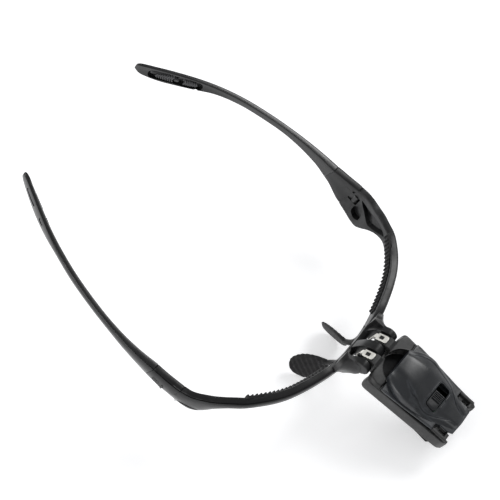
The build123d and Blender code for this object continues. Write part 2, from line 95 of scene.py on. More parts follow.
def rounded(points, radius, steps=4):
    """A polygon's points with its corners rounded; radius is one number or one for each corner."""
    corners = [Vector(p) for p in points]
    radii = [radius] * len(corners) if isinstance(radius, (int, float)) else radius
    outline = []
    for i, corner in enumerate(corners):
        to_last = corners[i - 1] - corner
        to_next = corners[(i + 1) % len(corners)] - corner
        half = to_last.angle(to_next) / 2
        cut = min(radii[i] / math.tan(half), 0.49 * to_last.length, 0.49 * to_next.length)
        if cut < 0.02:
            outline.append(corner)
            continue
        a = corner + to_last.normalized() * cut
        b = corner + to_next.normalized() * cut
        for s in range(steps + 1):
            t = s / steps
            outline.append(a * (1 - t) ** 2 + corner * (2 * t * (1 - t)) + b * t * t)
    return outline


def inset(outline, distance):
    """A closed outline moved inwards by a distance."""
    points = [Vector(p) for p in outline]
    area = sum(points[i - 1].x * p.y - p.x * points[i - 1].y for i, p in enumerate(points))
    turn = 1 if area > 0 else -1
    moved = []
    for i, p in enumerate(points):
        before = (p - points[i - 1]).normalized()
        after = (points[(i + 1) % len(points)] - p).normalized()
        n1 = Vector((-before.y, before.x)) * turn
        n2 = Vector((-after.y, after.x)) * turn
        middle = n1 + n2
        scale = min(2 / max(middle.length_squared, 0.4), 3)
        moved.append(p + middle * scale * distance)
    return moved


PLANES = {
    "plan": lambda u, v, w: at(u, v, w),        # drawn in x and forward, thick in z
    "side": lambda u, v, w: at(w, u, v),        # drawn in forward and z, thick in x
}


# ---- solids, in level mm until they become pieces ----
def added(name, data):
    """A new object in the scene."""
    obj = bpy.data.objects.new(name, data)
    bpy.context.scene.collection.objects.link(obj)
    return obj


def solid(vertices, faces):
    """A closed mesh object with its normals outwards."""
    mesh = bpy.data.meshes.new("solid")
    mesh.from_pydata([tuple(v) for v in vertices], [], faces)
    bm = bmesh.new()
    bm.from_mesh(mesh)
    bmesh.ops.remove_doubles(bm, verts=bm.verts, dist=0.0015)
    bmesh.ops.dissolve_degenerate(bm, edges=bm.edges, dist=0.001)
    bmesh.ops.triangulate(bm, faces=[f for f in bm.faces if len(f.verts) > 4])
    bmesh.ops.recalc_face_normals(bm, faces=bm.faces)
    bm.to_mesh(mesh)
    bm.free()
    return added("solid", mesh)


def loft(rings, closed=False):
    """A skin over rings of equal length; closed joins the last ring to the first."""
    size = len(rings[0])
    vertices = [tuple(p) for ring in rings for p in ring]
    faces = []
    count = len(rings)
    for r in range(count if closed else count - 1):
        for i in range(size):
            j = (i + 1) % size
            n = (r + 1) % count
            faces.append((r * size + i, r * size + j, n * size + j, n * size + i))
    if not closed:
        faces.append(tuple(range(size)))
        faces.append(tuple((count - 1) * size + i for i in range(size)))
    return solid(vertices, faces)


def layered(place, outline, levels):
    """A slab over an outline, as (inset, height) levels that place() puts in space."""
    return loft([[place(p.x, p.y, w) for p in inset(outline, d)] for d, w in levels])


def prism(outline, low, high, plane="plan", edge=0.25):
    """A slab over an outline, its rims rounded over by edge."""
    levels = [(edge, low), (edge * 0.3, low + edge * 0.3), (0, low + edge),
              (0, high - edge), (edge * 0.3, high - edge * 0.3), (edge, high)]
    if edge == 0:
        levels = [(0, low), (0, high)]
    return layered(PLANES[plane], outline, levels)


def block(x0, x1, f0, f1, z0, z1, edge=0.2):
    """A box with softened edges."""
    corners = [(x0, f0), (x1, f0), (x1, f1), (x0, f1)]
    return prism(rounded(corners, 1.4 * max(edge, 0.05), 3), z0, z1, "plan", edge)


def disc_outline(u, v, radius, count=48):
    return [Vector((u + radius * math.cos(a), v + radius * math.sin(a)))
            for a in np.linspace(0, 2 * math.pi, count, endpoint=False)]


def slot_outline(u, v, length, width, angle=0.0, count=12):
    """A round-ended slot about (u, v), turned by an angle in degrees."""
    turn = Matrix.Rotation(math.radians(angle), 2)
    reach = (length - width) / 2
    points = []
    for side, start in ((1, -90), (-1, 90)):
        for i in range(count + 1):
            a = math.radians(start + 180 * i / count)
            points.append(Vector((side * reach + width / 2 * math.cos(a), width / 2 * math.sin(a))))
    return [Vector((u, v)) + turn @ p for p in points]


def tube(points, radii, count=16, closed=False):
    """A round bar along points, with a radius for each."""
    path = [Vector(p) for p in points]
    rings = []
    side = None
    for i, p in enumerate(path):
        after, before = (i + 1, i - 1) if closed else (min(i + 1, len(path) - 1), max(i - 1, 0))
        ahead = (path[after % len(path)] - path[before]).normalized()
        if side is None:
            side = ahead.orthogonal().normalized()
        side = (side - ahead * side.dot(ahead)).normalized()
        across = ahead.cross(side)
        rings.append([p + (side * math.cos(a) + across * math.sin(a)) * radii[i]
                      for a in np.linspace(0, 2 * math.pi, count, endpoint=False)])
    return loft(rings, closed)


def combine(base, tools, operation="UNION"):
    """Joins the tools to the base, or cuts them from it."""
    for tool in tools:
        modifier = base.modifiers.new("combine", "BOOLEAN")
        modifier.operation = operation
        modifier.solver = "EXACT"
        modifier.object = tool
        depsgraph = bpy.context.evaluated_depsgraph_get()
        base.data = bpy.data.meshes.new_from_object(base.evaluated_get(depsgraph))
        base.modifiers.clear()
        bpy.data.objects.remove(tool)
    return base


def cut(base, *tools):
    return combine(base, tools, "DIFFERENCE")


def mirrored(obj):
    """A copy on the other side of the middle plane."""
    mesh = obj.data.copy()
    mesh.transform(Matrix.Diagonal((-1, 1, 1, 1)))
    mesh.flip_normals()
    return added("solid", mesh)


def piece(obj, name, body, material, stands_for, bevel=0.0, subdivide=0):
    """Turns a level solid into a finished piece that rides on a body and replaces a CAD node."""
    obj.name = name
    obj.data.name = name
    obj.data.transform(LEVEL)
    obj.data.materials.clear()
    obj.data.materials.append(material)
    obj.data.shade_smooth()
    obj.data.set_sharp_from_angle(angle=math.radians(34))
    if subdivide:
        modifier = obj.modifiers.new("surface", "SUBSURF")
        modifier.levels = modifier.render_levels = subdivide
    if bevel:
        modifier = obj.modifiers.new("edges", "BEVEL")
        modifier.width = bevel * MM
        modifier.segments = 2
        modifier.limit_method = "ANGLE"
        modifier.angle_limit = math.radians(42)
        modifier.miter_outer = "MITER_ARC"
        modifier = obj.modifiers.new("normals", "WEIGHTED_NORMAL")
        modifier.keep_sharp = True
    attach(obj, body)
    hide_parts(*stands_for)
    return obj


def pair(obj, name, bodies, material, bevel=0.0, subdivide=0):
    """A left piece, and its mirror image on the right."""
    made = []
    for side, shape in (("left", obj), ("right", mirrored(obj))):
        made.append(piece(shape, f"{name}_{side}_shell", bodies.format(side), material,
                          [f"{name}_{side}"], bevel, subdivide))
    return made


# ---- materials ----
class Nodes:
    """Small helper that adds and links shader nodes."""

    def __init__(self, name):
        self.material = bpy.data.materials.new(name)
        self.material.use_nodes = True
        self.tree = self.material.node_tree
        self.shader = self.tree.nodes["Principled BSDF"]
        self.place = self.add("ShaderNodeTexCoord").outputs["Object"]

    def add(self, kind, **values):
        node = self.tree.nodes.new(kind)
        for key, value in values.items():
            setattr(node, key, value)
        return node

    def link(self, output, node, socket):
        self.tree.links.new(output, node.inputs[socket])

    def noise(self, scale, detail=3.0, rough=0.55):
        """Noise over the object, its scale in cycles for each metre."""
        node = self.add("ShaderNodeTexNoise")
        node.inputs["Scale"].default_value = scale
        node.inputs["Detail"].default_value = detail
        node.inputs["Roughness"].default_value = rough
        self.link(self.place, node, "Vector")
        return node.outputs["Fac"]

    def spread(self, factor, low, high, start=0.3, end=0.7):
        """A factor stretched to the range low to high."""
        node = self.add("ShaderNodeMapRange")
        node.inputs["From Min"].default_value = start
        node.inputs["From Max"].default_value = end
        node.inputs["To Min"].default_value = low
        node.inputs["To Max"].default_value = high
        self.link(factor, node, "Value")
        return node.outputs["Result"]

    def blend(self, factor, a, b):
        """Colour a to colour b by a factor; either may be a socket."""
        node = self.add("ShaderNodeMix", data_type="RGBA")
        self.link(factor, node, 0)
        for index, colour in ((6, a), (7, b)):
            if isinstance(colour, tuple):
                node.inputs[index].default_value = (*colour, 1)
            else:
                self.link(colour, node, index)
        return node.outputs[2]

    def bump(self, height, strength, distance, under=None):
        node = self.add("ShaderNodeBump")
        node.inputs["Strength"].default_value = strength
        node.inputs["Distance"].default_value = distance
        self.link(height, node, "Height")
        if under:
            self.link(under, node, "Normal")
        return node.outputs["Normal"]

    def edges(self):
        """1 along sharp outer edges, 0 elsewhere: worn edges on plastic, and where rubber gets its painted
        highlight.
        """
        shape = self.add("ShaderNodeNewGeometry").outputs["Pointiness"]
        return self.spread(shape, 0, 1, 0.52, 0.60)


def plastic(name, colour, pale, rough, grain=9000, grain_depth=0.012, wear=0.35, shine=0.34):
    """Moulded plastic: fine spark-eroded grain, slow colour drift, patches smoothed by handling, paler edges.
    """
    n = Nodes(name)
    drift = n.spread(n.noise(70, 2), 0, 1)
    tone = n.blend(drift, colour, tuple(0.72 * c for c in colour))
    speck = n.spread(n.noise(5200, 2), 0, 0.35, 0.55, 0.75)
    tone = n.blend(speck, tone, pale)
    worn = n.add("ShaderNodeMath", operation="MULTIPLY")
    n.link(n.edges(), worn, 0)
    n.link(n.spread(n.noise(260, 4), 0, wear, 0.35, 0.65), worn, 1)
    n.link(n.blend(worn.outputs[0], tone, pale), n.shader, "Base Color")
    n.link(n.spread(n.noise(140, 4), rough - 0.06, rough + 0.08), n.shader, "Roughness")
    n.shader.inputs["Specular IOR Level"].default_value = shine
    broad = n.bump(n.noise(420, 2), 0.10, 0.0002)
    n.link(n.bump(n.noise(grain, 2, 0.7), 0.35, grain_depth * MM, broad), n.shader, "Normal")
    return n.material


def rubber(name, colour, pale, rim=0.0):
    """Matte rubber with a dusty bloom, a faint sheen and, by rim, a painted highlight along its raised edges.
    """
    n = Nodes(name)
    bloom = n.spread(n.noise(320, 5, 0.65), 0, 0.5, 0.42, 0.72)
    # Painted highlight: by rim, the raised edges are blended towards a bright colour that stands in for light
    # catching them.
    painted_highlight = n.add("ShaderNodeMath", operation="MULTIPLY")
    n.link(n.edges(), painted_highlight, 0)
    painted_highlight.inputs[1].default_value = rim
    highlight_colour = tuple(2.4 * c for c in pale)
    n.link(n.blend(painted_highlight.outputs[0], n.blend(bloom, colour, pale), highlight_colour), n.shader, "Base Color")
    n.link(n.spread(n.noise(900, 3), 0.62, 0.82), n.shader, "Roughness")
    n.shader.inputs["Sheen Weight"].default_value = 0.06
    n.shader.inputs["Specular IOR Level"].default_value = 0.38
    n.link(n.bump(n.noise(5200, 3, 0.7), 0.4, 0.00002), n.shader, "Normal")
    return n.material


def metal(name, colour, dark, rough, stretch=(40, 900, 900), metallic=1.0):
    """Rolled or drawn metal with fine streaks and a little tarnish."""
    n = Nodes(name)
    scale = n.add("ShaderNodeMapping")
    scale.inputs["Scale"].default_value = stretch
    n.link(n.place, scale, "Vector")
    streak = n.add("ShaderNodeTexNoise")
    streak.inputs["Scale"].default_value = 8
    streak.inputs["Detail"].default_value = 4
    n.link(scale.outputs["Vector"], streak, "Vector")
    tarnish = n.spread(n.noise(500, 4), 0, 0.45, 0.5, 0.75)
    n.link(n.blend(tarnish, colour, dark), n.shader, "Base Color")
    n.shader.inputs["Metallic"].default_value = metallic
    n.link(n.spread(streak.outputs["Fac"], rough - 0.07, rough + 0.1), n.shader, "Roughness")
    n.link(n.bump(streak.outputs["Fac"], 0.25, 0.00001), n.shader, "Normal")
    return n.material


def board(name):
    """Solder mask over faint copper tracks."""
    n = Nodes(name)
    track = n.add("ShaderNodeTexBrick")
    track.inputs["Scale"].default_value = 420
    track.inputs["Mortar Size"].default_value = 0.03
    n.link(n.place, track, "Vector")
    n.link(n.blend(track.outputs["Fac"], (0.02, 0.13, 0.05), (0.05, 0.24, 0.09)), n.shader, "Base Color")
    n.link(n.spread(n.noise(800, 3), 0.22, 0.36), n.shader, "Roughness")
    n.link(n.bump(track.outputs["Fac"], 0.3, 0.00004), n.shader, "Normal")
    return n.material


def clear_lens(name):
    """Clear epoxy of the LEDs, slightly cloudy."""
    n = Nodes(name)
    cloud = n.spread(n.noise(600, 3), 0, 1)
    n.link(n.blend(cloud, (0.92, 0.94, 1.0), (0.80, 0.84, 0.92)), n.shader, "Base Color")
    n.link(n.spread(n.noise(1200, 2), 0.04, 0.14), n.shader, "Roughness")
    n.shader.inputs["Transmission Weight"].default_value = 0.85
    n.shader.inputs["IOR"].default_value = 1.53
    return n.material


FRAME_PLASTIC = plastic("satin_nylon", (0.0050, 0.0050, 0.0054), (0.050, 0.051, 0.054), 0.34)
TEMPLE_PLASTIC = plastic("temple_nylon", (0.0056, 0.0058, 0.0062), (0.054, 0.056, 0.06), 0.25, shine=0.5)
LAMP_PLASTIC = plastic(
    "lamp_abs", (0.0105, 0.0122, 0.0146), (0.066, 0.073, 0.083), 0.34, 6500, 0.02, shine=0.62)
# Painted shade: a darker, duller copy of the lamp plastic for the lamp base down in the well; the switch body
# under the cover gets it too.
PAINTED_SHADE_PLASTIC = plastic(
    "lamp_base_abs_painted_shade", (0.0034, 0.0035, 0.0038), (0.03, 0.032, 0.035), 0.5, 6500, 0.02, shine=0.16)
BRACKET_PLASTIC = plastic(
    "bracket_abs", (0.0084, 0.0086, 0.0088), (0.06, 0.06, 0.06), 0.40, 6000, 0.022, shine=0.44)
SWITCH_PLASTIC = plastic("switch_abs", (0.013, 0.014, 0.016), (0.08, 0.083, 0.09), 0.33)
CASE_PLASTIC = plastic("switch_case_plastic", (0.55, 0.55, 0.53), (0.75, 0.75, 0.73), 0.5)
RUBBER = rubber("soft_rubber", (0.006, 0.006, 0.0065), (0.022, 0.022, 0.023))
# Painted highlight on raised edges: full on the grip's ribs, half on the pad's ridges.
GRIP_RUBBER = rubber("grip_rubber_painted_highlight", (0.010, 0.010, 0.0105), (0.05, 0.05, 0.052), rim=1.0)
PAD_RUBBER = rubber("pad_rubber_painted_highlight", (0.0062, 0.0058, 0.0062), (0.022, 0.021, 0.023), rim=0.5)
STEEL = metal("pressed_steel", (0.95, 0.93, 0.87), (0.70, 0.67, 0.60), 0.34, metallic=0.62)
PIN_STEEL = metal("pin_steel", (0.62, 0.62, 0.62), (0.30, 0.30, 0.30), 0.26)
BRASS = metal("spring_brass", (0.80, 0.60, 0.28), (0.45, 0.30, 0.12), 0.28)
CELL_STEEL = metal("cell_can", (0.78, 0.78, 0.77), (0.55, 0.55, 0.53), 0.22)
BOARD_GREEN = board("solder_mask")
LENS_CLEAR = clear_lens("led_epoxy")


# ---- frame ----
# Stations along the left brow: outer x and forward, inner x and forward, top z, bottom z, and how far
# the lower edge leans in on the outer and the inner side.
BROW = [
    (76.0, 0.0, 71.1, 0.0, -0.3, -18.7, 3.6, 1.8),
    (75.4, 4.6, 70.7, 4.4, 0.7, -19.9, 3.7, 2.6),
    (74.1, 8.9, 69.5, 8.0, 1.9, -20.0, 3.1, 3.1),
    (72.6, 12.2, 68.0, 10.9, 2.9, -18.0, 2.5, 3.4),
    (71.4, 14.6, 66.6, 13.4, 3.6, -14.0, 2.0, 3.4),
    (69.2, 18.2, 64.4, 17.0, 5.2, -7.2, 1.7, 2.9),
    (66.2, 22.4, 61.5, 21.0, 6.9, -2.2, 1.3, 1.5),
    (62.2, 27.8, 57.9, 25.8, 9.2, 1.2, 1.1, 0.4),
    (57.0, 32.6, 53.0, 29.9, 11.0, 3.0, 1.0, 0.0),
    (51.4, 36.9, 48.0, 33.6, 12.2, 3.7, 0.9, 0.0),
    (45.2, 40.6, 42.4, 37.0, 13.1, 4.0, 0.9, 0.0),
    (38.0, 43.7, 35.8, 39.8, 13.9, 4.0, 0.9, 0.0),
    (30.0, 46.4, 28.6, 42.2, 14.3, 3.8, 0.9, 0.0),
    (21.6, 48.7, 20.8, 44.3, 14.4, 3.6, 0.8, 0.0),
    (15.0, 50.0, 14.6, 45.6, 13.2, 3.3, 0.6, 0.0),
    (9.5, 50.7, 9.4, 46.3, 10.4, 3.0, 0.4, 0.0),
    (5.0, 50.9, 5.0, 46.7, 9.6, 2.7, 0.3, 0.0),
    (0.0, 51.0, 0.0, 46.8, 9.6, 2.6, 0.3, 0.0),
]
LEAN_START = 0.62                   # share of the height below which the faces lean in
SEAM_TOP, SEAM_DROP = 0.7, 3.7      # the frame's seam runs back from top to bottom
SEAM_REACH = 9.0                    # the seam's slant fades out over this length
SEAM_GAP = 0.06                     # between the parts along a seam
SEAM_EDGE = 0.28                    # width of the softened edge that shows the seam
EAR_INNER, EAR_OUTER = 9.0, 12.6    # x of the outer ear's faces
MIDDLE_EAR = 2.5                    # half width of the ear in the middle
# Outline of the ears: forward and z.
EAR_PROFILE = [(46.9, 5.6), (47.2, 9.6), (48.4, 14.2), (50.3, 18.9), (53.2, 22.2), (55.6, 23.6),
               (58.2, 23.1), (60.0, 21.2), (60.2, 18.6), (59.0, 16.3), (55.0, 12.4), (52.6, 9.2), (51.2, 5.6)]


def seam(height):
    """How far forward the frame's seam lies, by share of the height from bottom to top."""
    return SEAM_TOP - SEAM_DROP * (1 - height) ** 0.8


def low_edge(height):
    """How much of the lower edge's lean applies at a share of the height."""
    return max(0.0, 1 - height / LEAN_START) ** 1.25


# Cross section of the brow: share of the thickness from the inner face, share of the height.
BROW_SECTION = [
    (0.10, 0.00), (0.00, 0.05), (0.00, 0.30), (0.00, 0.62), (0.00, 0.93), (0.03, 0.975), (0.09, 1.00),
    (0.40, 1.005), (0.66, 1.00), (0.715, 0.985), (0.735, 0.945), (0.765, 0.945), (0.80, 0.965),
    (0.87, 0.935), (0.94, 0.85), (0.985, 0.70), (1.00, 0.52), (0.98, 0.30), (0.94, 0.12), (0.86, 0.03),
    (0.70, 0.00), (0.40, -0.01),
]


def brow_ring(station, front_seam):
    outer_x, outer_f, inner_x, inner_f, top, bottom, lean, inner_lean = station
    ring = []
    for u, w in BROW_SECTION:
        low = low_edge(w)
        x = inner_x + (outer_x - inner_x) * u - low * (inner_lean + (lean - inner_lean) * u)
        f = inner_f + (outer_f - inner_f) * u
        fade = max(0.0, 1 - f / SEAM_REACH) if front_seam else 0.0
        ring.append(at(x, f + seam(min(max(w, 0), 1)) * fade, bottom + (top - bottom) * w))
    return ring


def brow_half():
    return loft(soft_ends([brow_ring(s, True) for s in curve(BROW, 72)], SEAM_EDGE, 0))


def ear(low_x, high_x):
    """A rounded ear that carries the tilt pin."""
    outline = [Vector(p) for p in curve(EAR_PROFILE + EAR_PROFILE[:1], 64)[:-1]]
    return prism(outline, low_x, high_x, "side", 0.55)


FLARE_ROOT, FLARE_INNER = 46.2, 11.5    # where the flare starts: forward, and x inside the ear
# Flare stations: z, width as a share of the widest, how far forward it reaches.
FLARE = [
    (4.4, 0.9, 52.5), (6.0, 1.0, 53.2), (9.0, 1.0, 54.6), (12.0, 0.95, 56.6), (15.0, 0.82, 57.6),
    (17.5, 0.62, 57.4), (19.6, 0.38, 56.6), (21.0, 0.12, 55.4),
]


def ear_flare():
    """Flared root on the outer side of an outer ear."""
    rings = []
    for z, wide, reach in FLARE:
        span = reach - FLARE_ROOT
        sweep = curve([(EAR_OUTER + 9.0 * wide, FLARE_ROOT + span * 0.22),
                       (EAR_OUTER + 4.6 * wide, FLARE_ROOT + span * 0.4),
                       (EAR_OUTER + 1.9 * wide, FLARE_ROOT + span * 0.66),
                       (EAR_OUTER + 0.3 * wide, reach)], 9)
        side = [(FLARE_INNER, FLARE_ROOT), (EAR_OUTER + 8.0 * wide, FLARE_ROOT), *sweep, (FLARE_INNER, reach)]
        rings.append([at(x, f, z) for x, f in side])
    return loft(rings)


# The left nose pad: its ends, and its own directions.
PAD_TIP = at(14.6, 33.8, -25.4)
PAD_ROOT = at(7.0, 45.6, -7.6)
PAD_ALONG = (PAD_ROOT - PAD_TIP).normalized()
PAD_FACING = at(0.936, 0.09, 0.34)
PAD_NORMAL = (PAD_FACING - PAD_ALONG * PAD_FACING.dot(PAD_ALONG)).normalized()
PAD_ACROSS = PAD_NORMAL.cross(PAD_ALONG)
PAD_LENGTH = 21.5


def pad_point(along, across, out):
    """A point from a pad's own directions: tip to root, across, away from the nose."""
    return PAD_TIP + PAD_ALONG * along + PAD_ACROSS * across + PAD_NORMAL * out


def nose_arm():
    """Arm that springs from the brow's inner lower edge and arches down into the pad's root."""
    points = curve([
        tuple(at(13.5, 47.6, 6.4)), tuple(at(10.6, 48.3, 4.6)), tuple(at(8.6, 48.5, 1.0)),
        tuple(at(7.5, 47.8, -3.0)), tuple(pad_point(PAD_LENGTH - 1.0, 0, 0)),
        tuple(pad_point(PAD_LENGTH - 5.5, 0, 0)),
    ], 18)
    radii = np.interp(np.linspace(0, 1, 18), [0, 0.25, 0.6, 0.85, 1], [2.3, 2.0, 1.55, 1.3, 0.8])
    return tube(points, radii, 18)


def side_pocket(outline, depth):
    """A pocket sunk from the end piece's inner face, following its curve."""
    rings = []
    for reach in (-3.0, depth):
        rings.append([at(brow_face(f, z, 0.0) + reach, f, z) for f, z in outline])
    return loft(rings)


def side_openings():
    """Oval and leaf pockets on the inner side of the end piece, and the outer vent."""
    leaf = curve([(4.7, -3.6), (9.9, -2.4), (15.4, 1.0), (21.1, 4.3), (24.6, 4.2), (22.2, 1.0), (17.6, -4.0),
                  (14.1, -7.4), (10.3, -7.2), (6.9, -6.0), (4.7, -3.6)], 48)[:-1]
    oval = curve([(3.9, -11.4), (6.8, -8.6), (9.6, -10.6), (10.1, -14.0), (7.5, -16.6), (4.6, -15.8),
                  (3.9, -11.4)], 32)[:-1]
    vent = slot_outline(7.6, -13.0, 6.4, 1.5, 8)
    slit = loft([[at(brow_face(p.x, p.y, 1.0) + reach, p.x, p.y) for p in vent] for reach in (-1.1, 3.0)])
    return [side_pocket(leaf, 2.7), side_pocket(oval, 2.6), slit]


def brow_face(forward, z, side):
    """x of the brow's inner (side 0) or outer (side 1) face at a place."""
    stations = curve(BROW, 72)
    column = 3 - 2 * int(side)
    station = [float(np.interp(forward, stations[:, column], stations[:, c])) for c in range(8)]
    outer_x, _, inner_x, _, top, bottom, lean, inner_lean = station
    share = min(max((z - bottom) / (top - bottom), 0), 1)
    low = low_edge(share)
    return inner_x + (outer_x - inner_x) * side - low * (inner_lean + (lean - inner_lean) * side)


def vent_rim():
    """Raised eyebrow moulded over the outer vent."""
    ridge = curve([(2.6, -12.2), (6.2, -10.4), (9.8, -10.6), (12.6, -12.2)], 16)
    return tube([at(brow_face(f, z, 1.0) - 0.15, f, z) for f, z in ridge],
                0.14 + 0.42 * np.sin(np.linspace(0.05, math.pi - 0.05, 16)) ** 0.8, 10)


STRIP_SPAN = (0.305, 0.80)          # shares of the brow's length where the strip starts and ends
STRIP_LOW, STRIP_HIGH = 5.3, 10.9
STRIP_TEETH = 20
TOOTH_RINGS = 8                     # rings for each tooth


def strip_groove():
    """The bed that the serrated strip lies in."""
    return loft([strip_ring(s, -1.0, 0.9, 0.25) for s in curve(strip_stations(), 40)])


def away_from_head(x, forward):
    """Direction across the brow at a place, outwards, in x and forward."""
    return Vector((x, forward - 4.0)).normalized()


def strip_stations():
    """Inner face points of the brow, in the stretch that carries the strip."""
    inner = curve([(s[2], s[3]) for s in BROW], 201)
    start, end = (int(200 * v) for v in STRIP_SPAN)
    return [tuple(p) for p in inner[start:end + 1:5]]


def strip_ring(place, back, front, grow):
    """A flat ring across the strip, as (x, f) of the brow's face with depths either side of it."""
    x, f = place
    away = away_from_head(x, f)
    low, high = STRIP_LOW - grow, STRIP_HIGH + grow
    return [at(x - away.x * d, f - away.y * d, z)
            for d, z in ((back, low), (front, low), (front, high), (back, high))]


def brow_strip():
    """Serrated strip: a ribbon with round teeth and narrowed ends."""
    places = curve(strip_stations(), STRIP_TEETH * TOOTH_RINGS + 1)
    shares = np.linspace(0, 1, len(places))
    rings = []
    for index, ((x, f), share) in enumerate(zip(places, shares)):
        away = away_from_head(x, f)
        phase = index / TOOTH_RINGS * 2 * math.pi
        tooth = 0.7 + 0.95 * max(0.0, math.sin(phase)) ** 0.6
        close = min(1.0, 0.35 + math.sqrt(max(0.0, min(share, 1 - share)) * 18))
        middle = (STRIP_LOW + STRIP_HIGH) / 2 + (1 - min(1.0, share * 4)) * -0.6
        half = (STRIP_HIGH - STRIP_LOW) / 2 * close
        section = [(-0.9, -0.9), (-0.9, 0.9), (0.35, 1.0), (tooth * 0.85, 0.86), (tooth, 0.45),
                   (tooth, -0.45), (tooth * 0.85, -0.86), (0.35, -1.0)]
        rings.append([at(x - away.x * d, f - away.y * d, middle + half * w) for d, w in section])
    return loft(rings)


TONGUE_LOW, TONGUE_HIGH = -10.6, -5.0       # z of the hinge block's tongue
TONGUE_ROOM = 0.2                           # play above and below it


def front_frame():
    """Both brows, ears and nose arms in one, with the strips' beds and the end pieces' openings."""
    half = combine(brow_half(), [ear(EAR_INNER, EAR_OUTER), ear_flare(), nose_arm(), vent_rim()])
    half = cut(half, strip_groove(), *side_openings(), hinge_room())
    whole = combine(half, [mirrored(half)])
    whole = combine(whole, [ear(-MIDDLE_EAR, MIDDLE_EAR)])
    return piece(whole, "front_frame_shell", "frame", FRAME_PLASTIC, ["front_frame"], 0.18)


def hinge_room():
    """Room in the end piece for the block's tongue."""
    x, forward = HINGE
    low, high = TONGUE_LOW - TONGUE_ROOM, TONGUE_HIGH + TONGUE_ROOM
    room = prism(disc_outline(x, forward, 2.35, 40), low, high, "plan", 0)
    return combine(room, [block(66, x, -6, forward + 2.3, low, high, 0),
                          block(66, x + 2.3, -6, forward, low, high, 0)])


# ---- hinge blocks and temples ----
SIDE_SECTION = [
    (0.10, 0.00), (0.00, 0.06), (0.00, 0.35), (0.00, 0.65), (0.00, 0.93), (0.05, 0.985), (0.14, 1.00),
    (0.45, 1.01), (0.70, 1.00), (0.755, 0.985), (0.775, 0.95), (0.805, 0.95), (0.84, 0.965),
    (0.90, 0.93), (0.96, 0.84), (1.00, 0.68), (1.02, 0.50), (0.99, 0.30), (0.94, 0.12), (0.84, 0.02),
    (0.62, -0.01), (0.34, -0.01),
]
# Stations backwards along the left side: forward, outer x, inner x, top z, bottom z, lean outside, inside.
BLOCK = [
    (0.0, 76.0, 71.1, -0.3, -18.7, 3.6, 1.6), (-4.0, 76.1, 71.2, -0.9, -18.0, 3.2, 1.2),
    (-8.5, 76.1, 71.3, -1.5, -16.2, 2.2, 0.7), (-13.0, 76.1, 71.3, -1.9, -13.9, 1.1, 0.3),
    (-16.2, 76.0, 71.2, -2.2, -12.6, 0.6, 0.1),
]
TEMPLE = [
    (-16.6, 76.0, 71.1, -2.2, -12.4, 0.5, 0.1), (-24.0, 75.9, 71.7, -2.6, -10.5, 0.3, 0.0),
    (-33.0, 75.4, 71.8, -2.8, -9.0, 0.2, 0.0), (-45.0, 74.0, 70.9, -2.8, -7.4, 0.1, 0.0),
    (-60.0, 71.4, 68.4, -2.6, -6.9, 0.1, 0.0), (-74.0, 68.0, 65.0, -2.5, -6.9, 0.1, 0.0),
    (-86.0, 63.9, 60.9, -2.8, -7.4, 0.1, 0.8), (-95.0, 60.0, 57.1, -3.2, -9.9, 0.1, 1.7),
    (-103.0, 55.9, 53.1, -3.7, -11.9, 0.1, 1.8), (-111.0, 51.5, 48.8, -4.4, -12.9, 0.1, 1.9),
    (-117.0, 48.0, 45.5, -5.1, -12.8, 0.1, 1.5), (-121.0, 45.7, 43.2, -5.6, -12.2, 0.1, 0.8),
    (-123.2, 44.4, 42.3, -6.3, -11.4, 0.1, 0.0), (-124.2, 43.7, 42.1, -7.3, -10.2, 0.0, 0.0),
]


def drawn_in(ring, distance):
    """A ring pulled towards its middle, for a softened end."""
    middle = sum(ring, Vector()) / len(ring)
    return [p + (middle - p).normalized() * distance for p in ring]


def soft_ends(rings, first=SEAM_EDGE, last=SEAM_EDGE):
    """Rings whose first and last are drawn in, with the full section just behind them."""
    def moved(end, beside, distance):
        return [a + (b - a).normalized() * distance for a, b in zip(end, beside)]

    made = list(rings)
    if last:
        made[-1:] = [moved(rings[-1], rings[-2], last), drawn_in(rings[-1], last)]
    if first:
        made[:1] = [drawn_in(rings[0], first), moved(rings[0], rings[1], first)]
    return made


def side_ring(station, shift):
    """A ring across a block or temple; shift(share of height) moves its points forward."""
    f, outer_x, inner_x, top, bottom, lean, inner_lean = station
    ring = []
    for u, w in SIDE_SECTION:
        low = low_edge(w)
        x = inner_x + (outer_x - inner_x) * u - low * (inner_lean + (lean - inner_lean) * u)
        ring.append(at(x, f + shift(min(max(w, 0), 1)), bottom + (top - bottom) * w))
    return ring


def rear_seam(height):
    """Seam between block and temple: it runs back from top to bottom."""
    return 0.9 - 2.3 * (1 - height)


def hinge_block():
    """Block between frame and temple: a tongue on the hinge pin, and a pocket for the press tab."""
    stations = curve(BLOCK, 24)
    rings = []
    for index, station in enumerate(stations):
        share = index / (len(stations) - 1)
        rings.append(side_ring(station, lambda h: (seam(h) - SEAM_GAP) * (1 - share) ** 1.6
                               + rear_seam(h) * share ** 1.6))
    body = loft(soft_ends(rings))
    tongue = prism(disc_outline(HINGE[0], HINGE[1], 2.0, 40), TONGUE_LOW, TONGUE_HIGH, "plan", 0.15)
    arm = block(HINGE[0] - 1.2, HINGE[0] + 2.0, -5, HINGE[1], TONGUE_LOW, TONGUE_HIGH, 0.1)
    body = cut(body, block(60, HINGE[0] - 0.6, -1.6, 8, TONGUE_LOW - 3.4, TONGUE_HIGH + 2.0, 0.2))
    body = combine(body, [arm, tongue])
    opening = rounded([(-13.3, -10.6), (-6.5, -11.6), (-6.5, -7.0), (-13.3, -6.2)], 0.5)
    return cut(body, prism(opening, 74.6, 80, "side", 0))


